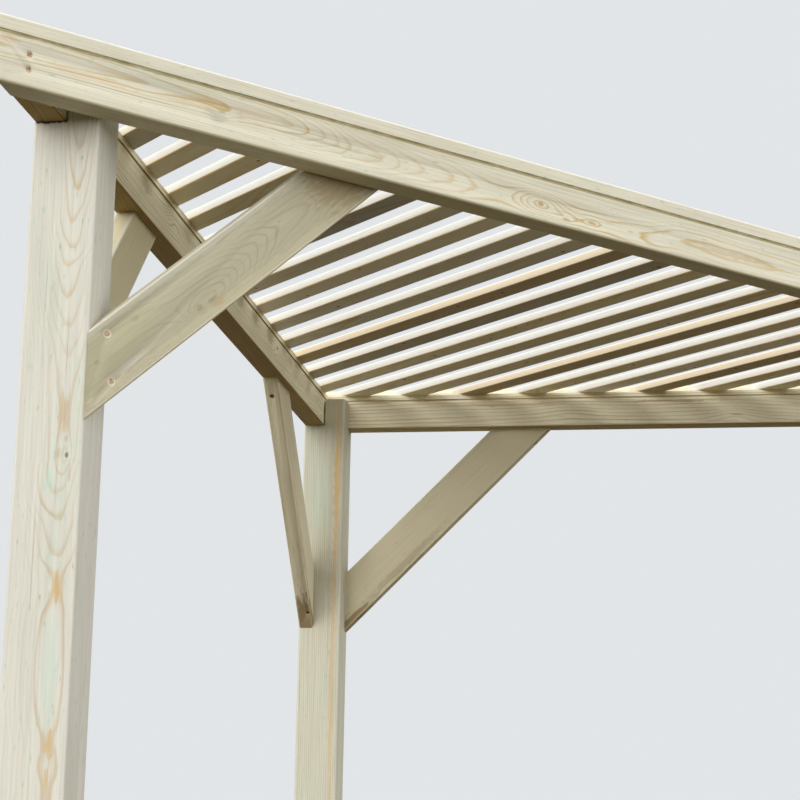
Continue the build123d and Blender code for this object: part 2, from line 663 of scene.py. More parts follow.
@dataclass
class Posts:
    """The three posts."""

    half: float = 0.0465
    finish: WoodFinish = WoodFinish(
        early=srgb(211, 209, 198), late=srgb(190, 168, 130), contrast=0.65, glowing=0.25, tinting=0.4,
        staining=0.15,
    )
    tanned: WoodFinish = WoodFinish(
        early=srgb(206, 204, 186), late=srgb(176, 158, 120), contrast=0.6, glowing=0.4, tinting=0.5,
    )
    green: Colour = srgb(178, 216, 198)
    # painted contact shadow where the rail sits on a post's shoulder
    joint: Colour = srgb(44, 36, 24)
    amber: Colour = srgb(206, 170, 110)
    honey: Colour = srgb(214, 174, 108)
    grey: Colour = srgb(178, 174, 158)
    russet: Colour = srgb(180, 124, 98)
    tan: Colour = srgb(196, 168, 134)

    def dress(self) -> None:
        """Dresses the posts."""
        for side in Side:
            self._front_post(side)
        self._post("corner_post", self.tanned, Side.LEFT, dict(
            hearts=course((0.0, 6.0, -0.11), (1.1, 9.0, -0.14), (2.2, 7.0, -0.12)),
            seed=4.4,
            ring=0.0046,
            warp=0.004,
            marks=(
                Mark(1.96, -0.033, 0.22, 0.009, self.amber, 0.45),
                Mark(1.98, -0.031, 0.10, 0.005, self.honey, 0.6),
                Mark(1.55, -0.031, 0.40, 0.006, self.amber, 0.45),
                Mark(1.90, -0.020, 0.30, 0.005, self.grey, 0.35),
                Mark(1.95, 0.010, 0.10, 0.020, self.green, 0.15),
            ),
        ))

    def _post(self, node: str, finish: WoodFinish, side: Side, figure: dict[str, object]) -> None:
        """Dresses a post, whose grain runs up from the ground.

        Args:
            node: Name of the post.
            finish: Its finish.
            side: Side that the face with its figure looks to.
            figure: What else its grain has, as on the left side.
        """
        centre = middle(node)
        grain = Grain(
            origin=(centre.x, centre.y, 0.0), along=UP, face=side.mirror((-HALF, -HALF, 0.0)),
            half=self.half, sides=(-self.half, self.half), **figure,
        )
        dress(node, finish, grain.handed(-side.value))

    def _front_post(self, side: Side) -> None:
        """Dresses a front post.

        Args:
            side: Half of the frame.
        """
        self._post(side.word + "_post", self.finish, side, dict(
            hearts=course(
                (0.00, 14.3, -0.012), (0.40, 16.6, -0.020), (0.75, 15.2, -0.016), (1.00, 17.2, -0.024),
                (1.12, 17.35, -0.024), (1.20, 17.82, -0.024), (1.23, 17.6, -0.024), (1.26, 17.80, -0.023),
                (1.29, 17.5, -0.020), (1.355, 17.2, -0.018), (1.42, 17.5, -0.019), (1.46, 17.85, -0.022),
                (1.50, 16.9, -0.020), (1.548, 15.9, -0.019), (1.583, 14.9, -0.012), (1.63, 14.2, -0.018),
                (1.67, 13.86, -0.019), (1.71, 13.7, -0.019), (1.771, 12.9, -0.021), (1.811, 11.9, -0.019),
                (1.85, 10.9, -0.017), (1.893, 9.9, -0.015), (1.916, 8.9, -0.019), (1.953, 7.9, -0.016),
                (1.999, 6.9, -0.020), (2.16, 4.0, -0.018),
            ),
            seed=1.0 + side.value,
            warp=0.002,
            flank=0.35,
            knots=(
                Knot(1.630, -0.022, 0.0, 0.030, 0.012, 1.3),
                Knot(1.634, -0.026, 0.0028, 0.012, 0.006, 0.5),
            ),
            marks=(
                Mark(1.600, -0.005, 0.020, 0.008, self.green, 0.4),
                Mark(1.640, -0.008, 0.020, 0.004, self.green, 0.3),
                Mark(1.636, -0.014, 0.009, 0.005, self.tan, 0.5),
                Mark(1.355, -0.018, 0.075, 0.011, self.green, 0.25),
                Mark(1.460, -0.022, 0.022, 0.005, self.amber, 0.7),
                Mark(1.259, -0.023, 0.020, 0.005, self.amber, 0.65),
                Mark(1.214, -0.023, 0.016, 0.004, self.amber, 0.6),
                Mark(1.690, -0.019, 0.030, 0.008, self.tan, 0.55),
                Mark(1.656, -0.024, 0.005, 0.003, self.russet, 0.3),
                Mark(1.610, -0.031, 0.014, 0.003, self.russet, 0.3),
                # painted contact shadow under the rail, along the post's shoulder
                Mark(2.0995, 0.024, 0.003, 0.030, self.joint, 0.95),
            ),
        ))


@dataclass
class Rails:
    """The three rails."""

    half: float = 0.0225
    height: float = 0.094
    # edge and sole are the painted arris highlight and its golden painted shade
    golden: WoodFinish = WoodFinish(
        early=srgb(226, 222, 202), late=srgb(202, 174, 116), contrast=0.85, glowing=0.25, tinting=0.3,
        edging=0.9, edge=srgb(246, 244, 236), sole=srgb(230, 220, 184), knot=srgb(180, 148, 96),
    )
    # under and sole: painted shade on the faces and arrises that look down
    rough: WoodFinish = WoodFinish(
        early=srgb(250, 244, 216), late=srgb(150, 124, 80), contrast=1.0, glowing=0.2, tinting=0.2,
        staining=0.25, saw_marks=0.8, under=srgb(176, 154, 112), sole=srgb(190, 164, 112),
        streaking=0.5, relief=0.35,
    )
    # under: painted shade on the faces that look down
    banded: WoodFinish = WoodFinish(
        early=srgb(252, 247, 222), late=srgb(212, 176, 120), contrast=0.85, glowing=0.4, tinting=0.2,
        staining=0.05, under=srgb(206, 196, 166),
    )
    orange: Colour = srgb(214, 172, 116)
    slate: Colour = srgb(150, 150, 134)
    rust: Colour = srgb(170, 126, 84)
    # painted light falling between the slats onto the left rail's inner face
    slat_gap_light: Colour = srgb(252, 244, 216)
    tan: Colour = srgb(190, 164, 120)
    # painted shadow of a slat on the left rail's inner face
    slat_shadow: Colour = srgb(150, 142, 112)
    # painted shade in the front rail's groove
    olive: Colour = srgb(166, 152, 102)
    groove_rise: float = 0.070
    groove_half: float = 0.0026
    # where the painted slat shadows and the painted light between the slats fall along the left rail
    slat_shadow_places: tuple[float, ...] = (0.965, 0.835, 0.694, 0.491, 1.631)
    slat_gap_light_places: tuple[float, ...] = (0.900, 0.765, 0.590, 0.390, 0.240, 0.120)

    def dress(self) -> None:
        """Dresses the rails."""
        self._front_rail()
        self._side_rail(Side.LEFT, self.rough, dict(
            hearts=course((0.0, 9.0, 0.02), (1.1, 12.0, 0.035), (2.2, 9.5, 0.02)),
            seed=14.0,
            ring=0.0042,
            warp=0.012,
            flank=0.6,
            knots=(Knot(1.443, -0.047, 0.0, 0.05, 0.018, 3.5), Knot(0.62, -0.045, 0.004, 0.04, 0.015, 3.0)),
            marks=(
                # painted shadows of the slats and painted pools of light between them
                *(Mark(place, -0.050, 0.030, 0.016, self.slat_shadow, 0.35) for place in self.slat_shadow_places),
                *(Mark(place, -0.060, 0.030, 0.030, self.slat_gap_light, 0.45) for place in self.slat_gap_light_places),
                Mark(1.05, -0.075, 0.900, 0.004, self.tan, 0.5),
            ),
        ))
        self._side_rail(Side.RIGHT, self.banded, dict(
            hearts=course((0.0, 5.5, -0.10), (0.9, 7.0, -0.08), (1.5, 6.0, -0.12), (2.2, 7.5, -0.09)),
            seed=17.0,
            ring=0.0078,
            warp=0.010,
            knots=(Knot(0.60, 0.034, 0.0, 0.06, 0.020, 1.0), Knot(0.971, 0.018, 0.0, 0.05, 0.020, 1.4)),
            marks=(
                Mark(0.975, 0.022, 0.020, 0.0025, self.orange, 0.7),
                Mark(0.840, 0.055, 0.120, 0.003, self.rust, 0.45),
                Mark(0.450, 0.052, 0.160, 0.004, self.orange, 0.4),
            ),
        ))

    def _side_rail(self, side: Side, finish: WoodFinish, figure: dict[str, object]) -> None:
        """Dresses a side rail, whose grain runs from the corner to the front.

        Args:
            side: Half of the frame.
            finish: Its finish.
            figure: What else its grain has.
        """
        face = side.mirror((HALF, -HALF, 0.0))
        start = Vector(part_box("left_rail")[1]) + Vector(face) * self.half
        grain = Grain(
            origin=(start.x, start.y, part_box("front_rail")[0][2]), along=side.mirror((-HALF, -HALF, 0.0)),
            face=face, half=self.half, sides=tuple(sorted((0.0, side.value * self.height))), **figure,
        )
        dress(side.word + "_rail", finish, grain)

    def _front_rail(self) -> None:
        """Dresses the front rail, from its left tip to its right tip."""
        grain = Grain(
            origin=(0.0, middle("front_rail").y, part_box("front_rail")[0][2]),
            along=(1.0, 0.0, 0.0),
            face=FRONT,
            half=self.half,
            sides=(0.0, self.height),
            hearts=course(
                (-1.55, 7.9, 0.050), (-1.42, 8.55, 0.052), (-1.35, 8.8, 0.051), (-1.33, 8.9, 0.050),
                (-1.30, 9.3, 0.050), (-1.24, 9.75, 0.050), (-1.22, 9.9, 0.050), (-1.19, 10.2, 0.049),
                (-1.12, 10.6, 0.048), (-1.09, 10.9, 0.047), (-1.061, 11.9, 0.044), (-1.030, 12.9, 0.043),
                (-1.005, 13.9, 0.039), (-0.982, 14.9, 0.037), (-0.922, 15.9, 0.033), (-0.893, 16.9, 0.033),
                (-0.846, 17.9, 0.032), (-0.790, 18.9, 0.030), (-0.748, 19.9, 0.028), (-0.69, 20.6, 0.027),
                (-0.62, 20.9, 0.027), (-0.52, 20.0, 0.020), (-0.42, 18.9, 0.018), (-0.30, 17.9, 0.030),
                (-0.22, 17.75, 0.027), (-0.08, 17.88, 0.025), (0.05, 18.6, 0.028), (0.30, 19.7, 0.034),
                (0.55, 18.4, 0.030), (0.85, 16.0, 0.038), (1.10, 14.1, 0.045), (1.30, 12.4, 0.044),
                (1.55, 11.0, 0.040),
            ),
            seed=9.3,
            ring=0.0029,
            warp=0.003,
            flank=0.3,
            knots=(
                Knot(-0.624, 0.028, 0.0042, 0.045, 0.020, 4.5),
                Knot(-0.570, 0.015, 0.0, 0.030, 0.012, 2.0),
                Knot(-0.517, 0.019, 0.0, 0.026, 0.010, 1.5),
                Knot(-1.205, 0.032, 0.0, 0.024, 0.012, 1.2),
                Knot(0.52, 0.050, 0.005, 0.045, 0.018, 4.0),
            ),
            marks=(
                # painted shade along the groove of the front rail
                Mark(0.0, self.groove_rise, 3.0, self.groove_half, self.olive, 0.8),
                Mark(-1.42, 0.037, 0.080, 0.006, self.orange, 0.22),
                Mark(-1.26, 0.037, 0.070, 0.004, self.orange, 0.25),
                Mark(-1.535, 0.060, 0.016, 0.006, self.orange, 0.35),
                Mark(-1.16, 0.047, 0.045, 0.006, self.orange, 0.22),
                Mark(-1.215, 0.030, 0.020, 0.010, self.slate, 0.3),
                Mark(-1.02, 0.033, 0.120, 0.003, self.slate, 0.3),
                Mark(-0.570, 0.013, 0.010, 0.003, self.tan, 0.8),
                Mark(-0.517, 0.019, 0.012, 0.003, self.tan, 0.8),
                Mark(-0.20, 0.027, 0.110, 0.0045, self.tan, 0.45),
            ),
        )
        dress("front_rail", self.golden, grain)


@dataclass
class Braces:
    """The six braces."""

    half: float = 0.015
    side_depth: float = 0.093
    front_depth: float = 0.091
    drop: float = 0.4205
    reach: float = 0.4685
    ring: float = 0.0030
    # edge and sole are the painted arris highlight and its painted shade
    grey: WoodFinish = WoodFinish(
        early=srgb(188, 183, 158), late=srgb(160, 144, 104), contrast=0.45, glowing=0.15, tinting=0.05,
        staining=0.25, edging=0.6, edge=srgb(222, 218, 204), sole=srgb(190, 172, 122),
    )
    fine: WoodFinish = WoodFinish(
        early=srgb(230, 222, 194), late=srgb(184, 166, 126), contrast=0.6, glowing=0.1, tinting=0.1,
        staining=0.35, streaking=0.2, relief=0.25,
    )
    tanned: WoodFinish = replace(fine, early=srgb(215, 206, 177), late=srgb(182, 158, 112))
    olive: WoodFinish = replace(
        fine, early=srgb(225, 217, 182), late=srgb(154, 136, 94), contrast=0.9, edging=0.9
    )
    brown: Colour = srgb(140, 116, 84)
    ochre: Colour = srgb(158, 124, 70)
    # darker brown near the foot and lower edge of a side brace
    lower_brown: Colour = srgb(150, 128, 92)
    sage: Colour = srgb(185, 180, 150)
    ash: Colour = srgb(202, 196, 184)
    straw: Colour = srgb(208, 200, 166)
    chalk: Colour = srgb(206, 202, 184)
    honey: Colour = srgb(190, 166, 116)

    def dress(self) -> None:
        """Dresses the braces."""
        for side in Side:
            for lean in Lean:
                self._side_brace(side, lean)
            self._front_brace(side)

    def _side_brace(self, side: Side, lean: Lean) -> None:
        """Dresses a brace under a side rail.

        Args:
            side: Half of the frame.
            lean: Which way the brace leans.
        """
        node = lean.node(side)
        slope = -HALF * lean.value * HALF
        finish = self.olive if lean is Lean.END else self.fine
        finish = self.tanned if node == "right_corner_brace" else finish
        grain = Grain(
            origin=tuple(middle(node)),
            along=side.mirror((slope, slope, HALF)),
            face=side.mirror((HALF, -HALF, 0.0)),
            half=self.half,
            sides=(0.0, self.side_depth),
            hearts=course((-0.35, 14.0, 0.140), (0.0, 17.0, 0.150), (0.35, 15.0, 0.135)),
            seed=20.0 + 3 * side.value + lean.value,
            ring=self.ring,
            flank=0.3,
            marks=(
                # darker brown towards the foot and along the lower edge
                Mark(-0.300, 0.002, 0.070, 0.016, self.lower_brown, 0.9),
                Mark(-0.12, 0.012, 0.130, 0.010, self.lower_brown, 0.35),
            ),
        )
        dress(node, finish, grain.handed(side.value * lean.value))

    def _front_brace(self, side: Side) -> None:
        """Dresses a brace behind the front rail.

        Args:
            side: Half of the frame.
        """
        node = side.word + "_front_brace"
        low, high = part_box(node)
        foot = low[0] if side is Side.LEFT else high[0]
        length = math.hypot(self.drop, self.reach)
        grain = Grain(
            origin=(foot, middle(node).y, low[2]),
            along=side.mirror((self.reach / length, 0.0, self.drop / length)),
            face=FRONT,
            half=self.half,
            sides=(0.0, self.front_depth),
            hearts=course(
                (-0.10, 14.2, 0.058), (0.10, 15.2, 0.058), (0.20, 15.6, 0.048), (0.275, 15.9, 0.042),
                (0.335, 16.9, 0.042), (0.359, 17.9, 0.040), (0.386, 18.9, 0.044), (0.410, 19.9, 0.044),
                (0.433, 20.9, 0.045), (0.472, 21.4, 0.046), (0.506, 21.9, 0.048), (0.521, 22.9, 0.047),
                (0.60, 24.0, 0.048), (0.75, 25.0, 0.050),
            ),
            seed=31.0 + side.value,
            ring=self.ring,
            warp=0.005,
            flank=0.4,
            knots=(Knot(0.275, 0.022, 0.0, 0.060, 0.022, 4.0), Knot(0.248, 0.024, 0.0, 0.020, 0.008, 1.0)),
            marks=(
                Mark(0.085, 0.055, 0.110, 0.034, self.sage, 0.9),
                Mark(0.030, 0.020, 0.090, 0.032, self.sage, 0.8),
                Mark(0.100, 0.022, 0.045, 0.006, self.ash, 0.6),
                Mark(0.060, 0.008, 0.060, 0.008, self.ash, 0.45),
                Mark(0.280, 0.007, 0.350, 0.010, self.straw, 0.55),
                Mark(0.260, 0.086, 0.450, 0.007, self.chalk, 0.6),
                Mark(0.0657, 0.0491, 0.007, 0.004, self.brown, 0.3),
                Mark(0.1516, 0.0652, 0.007, 0.004, self.brown, 0.25),
                Mark(0.280, 0.014, 0.014, 0.006, self.honey, 0.5),
                Mark(0.275, 0.022, 0.012, 0.004, self.brown, 0.35),
                Mark(0.248, 0.024, 0.008, 0.006, self.brown, 0.35),
                Mark(0.58, 0.053, 0.070, 0.060, self.ochre, 0.45),
            ),
        )
        dress(node, self.grey, grain.handed(-side.value))


@dataclass
class Slats:
    """The roof slats."""

    half: float = 0.008
    width: float = 0.045
    count: int = 14
    # edge and sole are the painted arris highlight and its golden painted shade
    pale: WoodFinish = WoodFinish(
        early=srgb(242, 241, 235), late=srgb(220, 196, 152), contrast=0.7, glowing=0.3, tinting=0.15,
        staining=0.15, edging=0.9, sole=srgb(226, 204, 144), edge=srgb(246, 244, 236),
        streaking=0.1, relief=0.12,
    )
    peach: WoodFinish = replace(pale, early=srgb(241, 225, 196), late=srgb(220, 172, 120), tinting=0.0)
    shaded_slats: tuple[str, ...] = (
        "left_slat_02", "left_slat_03", "left_slat_08", "left_slat_13", "right_slat_03", "right_slat_06",
    )
    peach_slats: tuple[str, ...] = ("left_slat_03", "right_slat_03", "right_slat_06")
    # slats whose undersides take a bluer painted light, as if lit from another direction
    cool_lit_slats: tuple[str, ...] = (
        "left_slat_04", "left_slat_05", "left_slat_06", "left_slat_07", "left_slat_08", "right_slat_05",
    )
    heart_places: tuple[float, ...] = (-0.75, -0.25, 0.25, 0.75)
    heart_rings: tuple[float, float] = (8.0, 18.0)
    heart_across: tuple[float, float] = (-0.03, 0.03)
    shaded_tone: float = 0.70  # painted shade: brightness of the underside of a slat in shade
    # painted light: range of the brightness of the other slats' undersides, above their wood's
    underside_light_range: tuple[float, float] = (1.05, 1.40)
    blue: float = 0.86  # blue of an underside over its painted brightness
    cool_lit_blue: float = 1.08

    @classmethod
    def every(cls) -> list[tuple[Side, str]]:
        """Returns the side and the name of each slat, from the middle outwards."""
        numbers = range(1, cls.count + 1)
        return [(side, f"{side.word}_slat_{number:02d}") for number in numbers for side in Side]

    def dress(self) -> None:
        """Dresses the slats, each from a log of its own."""
        draw = random.Random(12)
        for _, node in self.every():
            spots = [
                (place, draw.uniform(*self.heart_rings), draw.uniform(*self.heart_across))
                for place in self.heart_places
            ]
            knots = tuple(
                Knot(draw.uniform(-0.7, 0.7), draw.uniform(-0.015, 0.015), 0.0035, 0.03, 0.010, 2.0)
                for _ in range(2)
            )
            grain = Grain(
                origin=tuple(middle(node)),
                along=(0.0, 1.0, 0.0),
                face=DOWN,
                half=self.half,
                sides=(-self.width / 2, self.width / 2),
                hearts=course(*spots),
                seed=draw.uniform(40.0, 90.0),
                ring=0.0034,
                flank=0.15,
                knots=knots,
            )
            # painted light and shade on each slat's underside: dark for the shaded slats, brighter for the
            # rest, bluer for some
            underside_lighting = self.shaded_tone if node in self.shaded_slats else draw.uniform(*self.underside_light_range)
            blue = self.cool_lit_blue if node in self.cool_lit_slats else self.blue
            finish = self.peach if node in self.peach_slats else self.pale
            finish = replace(finish, under=(underside_lighting, underside_lighting * (0.75 + blue / 4), underside_lighting * blue))
            dress(node, finish, grain)


@dataclass(frozen=True)
class SteelFinish:
    """Plated steel that has gone dull in a damp bore."""

    plate: Colour = srgb(222, 204, 178)  # bare plating
    dirt: Colour = srgb(156, 112, 82)  # rust and sawdust on it
    metallic: float = 0.3  # how much of the plating shines as metal
    roughness: float = 0.40
    dirt_roughness: float = 0.35  # what the dirt adds to it
    blotches: float = 520.0  # blotches per metre
    patch: tuple[float, float] = (0.42, 0.62)  # noise at which a blotch begins and is full

    def material(self) -> bpy.types.Material:
        """Builds the steel, with dirt in blotches.

        Returns:
            The material.
        """
        material, graph = new_material("screw_steel")
        place = graph.node("TexCoord").outputs["Object"]
        dirty = graph.step(graph.noise(place, (self.blotches,) * 3, 3.0), *self.patch)
        graph.end(graph.node("BsdfPrincipled", {
            "Base Color": graph.mix(dirty, self.plate, self.dirt),
            "Metallic": graph.scaled(dirty, -self.metallic, self.metallic),
            "Roughness": graph.scaled(dirty, self.dirt_roughness, self.roughness),
        }).outputs[0])
        return material


@dataclass(frozen=True)
class BoredFinish:
    """Raw wood in a bore and round its torn rim."""

    wall: Colour = srgb(172, 134, 98)
    rim: Colour = srgb(228, 217, 192)
    fibres: float = 900.0  # fibres per metre
    shade: tuple[float, float] = (0.5, 0.7)  # range and least of their brightness
    roughness: float = 0.85
    height: float = 0.0003

    def material(self, name: str, colour: Colour) -> bpy.types.Material:
        """Builds ragged wood of one colour.

        Args:
            name: Name of the material.
            colour: Its colour.

        Returns:
            The material.
        """
        material, graph = new_material(name)
        ragged = graph.noise(graph.node("TexCoord").outputs["Object"], (self.fibres,) * 3, 2.0)
        graph.end(graph.node("BsdfPrincipled", {
            "Base Color": graph.shaded(colour, graph.scaled(ragged, *self.shade)),
            "Roughness": self.roughness,
            "Normal": graph.node("Bump", {"Distance": self.height, "Height": ragged}).outputs[0],
        }).outputs[0])
        return material


@dataclass(frozen=True)
class Screw:
    """A countersunk screw."""

    place: Vector  # where its axis meets the face of the timber
    out: Vector  # direction out of the timber


@dataclass
class Drill:
    """Bores a timber and sets screws in it. Its models point up from a face at height 0."""

    steel_finish: SteelFinish = SteelFinish()
    bored_finish: BoredFinish = BoredFinish()
    bore: float = 0.0042
    depth: float = 0.0026
    rim: float = 0.0010  # depth of the torn rim
    flare: float = 1.45  # how much wider than the bore the rim is
    proud: float = 0.0005  # how far the cutter stands out of the face
    head: float = 0.0040
    head_height: float = 0.0012
    recess: float = 0.0009
    recess_share: float = 0.6  # width of the recess over that of the head
    waist: float = 0.7  # width of the recess between two lobes
    lobes: int = 6
    lobe_edge: float = -0.5  # cosine below which a place lies between two lobes
    facets: int = 24
    tiny: float = 0.00001
    smooth_below: float = 30.0

    def __post_init__(self) -> None:
        """Makes the finishes."""
        raw = self.bored_finish
        self.steel = self.steel_finish.material()
        self.woods = (raw.material("bored_wood", raw.wall), raw.material("torn_wood", raw.rim))

    def _only(self, piece: bpy.types.Object) -> None:
        """Selects one object alone and makes it active.

        Args:
            piece: The object.
        """
        bpy.ops.object.select_all(action="DESELECT")
        piece.select_set(True)
        bpy.context.view_layer.objects.active = piece

    def _edit(self, piece: bpy.types.Object, chosen: Callable[[Vector], bool]) -> None:
        """Enters edit mode with some vertices selected.

        Args:
            piece: Object to edit.
            chosen: Whether a vertex at a place is selected.
        """
        self._only(piece)
        bpy.ops.object.mode_set(mode="EDIT")
        bpy.ops.mesh.select_mode(type="VERT")
        bpy.ops.mesh.select_all(action="DESELECT")
        bpy.ops.object.mode_set(mode="OBJECT")
        for vertex in piece.data.vertices:
            vertex.select = chosen(vertex.co)
        bpy.ops.object.mode_set(mode="EDIT")

    def _extrude(self, rise: float) -> None:
        """Extrudes what is selected, straight up or down."""
        bpy.ops.mesh.extrude_region_move(TRANSFORM_OT_translate={"value": (0.0, 0.0, rise)})

    def _round(self, radius: float, low: float, high: float) -> bpy.types.Object:
        """Adds an upright cylinder, with its place in its mesh.

        Args:
            radius: Its radius.
            low: Height of its bottom.
            high: Height of its top.

        Returns:
            The cylinder.
        """
        bpy.ops.mesh.primitive_cylinder_add(
            vertices=self.facets, radius=radius, depth=high - low, location=(0.0, 0.0, (low + high) / 2)
        )
        bpy.ops.object.transform_apply()
        return bpy.context.object

    def _cutter(self) -> bpy.types.Object:
        """Models what a bore takes away: a blind hole with a flared rim.

        Returns:
            The cutter.
        """
        cutter = self._round(self.bore, -self.depth, -self.rim)
        self._edit(cutter, lambda spot: spot.z > -self.rim - self.tiny)
        self._extrude(self.rim)
        bpy.ops.transform.resize(value=(self.flare, self.flare, 1.0))
        self._extrude(self.proud)
        bpy.ops.object.mode_set(mode="OBJECT")
        for wood in self.woods:
            cutter.data.materials.append(wood)
        for polygon in cutter.data.polygons:
            polygon.material_index = int(polygon.center.z > -self.rim)
        return cutter

    def _head(self) -> bpy.types.Object:
        """Models a screw head on the floor of its bore, with a lobed recess for the driver.

        Returns:
            The head.
        """
        top = self.head_height - self.depth
        inner = self.head * self.recess_share
        head = self._round(self.head, -self.depth, top)
        self._edit(head, lambda spot: spot.z > top - self.tiny)
        bpy.ops.mesh.inset(thickness=self.head - inner)
        bpy.ops.object.mode_set(mode="OBJECT")

        def in_recess(spot: Vector) -> bool:
            """Returns whether a vertex lies on the inner ring."""
            return spot.z > top - self.tiny and spot.to_2d().length < inner + self.tiny * 10

        def at_waist(spot: Vector) -> bool:
            """Returns whether a vertex lies on the inner ring, between two lobes."""
            return in_recess(spot) and math.cos(self.lobes * math.atan2(spot.y, spot.x)) < self.lobe_edge

        self._edit(head, at_waist)
        bpy.ops.transform.resize(value=(self.waist, self.waist, 1.0), center_override=(0.0, 0.0, top))
        bpy.ops.object.mode_set(mode="OBJECT")
        self._edit(head, in_recess)
        self._extrude(-self.recess)
        bpy.ops.object.mode_set(mode="OBJECT")
        head.data.materials.append(self.steel)
        return head

    def _spread(self, model: bpy.types.Object, screws: list[Screw], name: str) -> bpy.types.Object:
        """Sets a copy of a model at each screw and joins the copies.

        Args:
            model: Model that points up from the origin; it is deleted.
            screws: Screws to set it at.
            name: Name of the joined piece.

        Returns:
            The joined piece.
        """
        copies = []
        for screw in screws:
            copy = bpy.data.objects.new(name, model.data.copy())
            turn = screw.out.to_track_quat("Z", "Y").to_matrix().to_4x4()
            copy.data.transform(Matrix.Translation(screw.place) @ turn)
            bpy.context.scene.collection.objects.link(copy)
            copies.append(copy)
        bpy.data.objects.remove(model)
        self._only(copies[0])
        for copy in copies:
            copy.select_set(True)
        bpy.ops.object.join()
        return copies[0]

    def bore_timber(self, node: str, screws: list[Screw], slot: str) -> None:
        """Puts a bored copy of a timber in its place.

        Args:
            node: Name of the timber, already dressed.
            screws: Its screws.
            slot: Not used.
        """
        timber = bpy.data.objects.new(node + "_bored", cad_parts[node].data.copy())
        bpy.context.scene.collection.objects.link(timber)
        self._edit(timber, lambda spot: True)
        bpy.ops.mesh.remove_doubles(threshold=self.tiny)
        bpy.ops.object.mode_set(mode="OBJECT")
        bpy.ops.mesh.customdata_custom_splitnormals_clear()
        bores = timber.modifiers.new("bores", "BOOLEAN")
        bores.solver = "EXACT"
        bores.material_mode = "TRANSFER"
        bores.object = self._spread(self._cutter(), screws, "bores")
        self._only(timber)
        bpy.ops.object.modifier_apply(modifier=bores.name)
        bpy.data.objects.remove(bpy.data.objects["bores"])
        bpy.ops.object.shade_smooth_by_angle(angle=math.radians(self.smooth_below))
        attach(timber, BODY)
        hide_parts(node)
        LOG.info("bored %s for %d screws", node, len(screws))

    def set_heads(self, name: str, screws: list[Screw]) -> None:
        """Sets screw heads in their bores.

        Args:
            name: Name of the piece that they become.
            screws: The screws.
        """
        heads = self._spread(self._head(), screws, name)
        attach(heads, BODY)
        LOG.info("set %s", name)


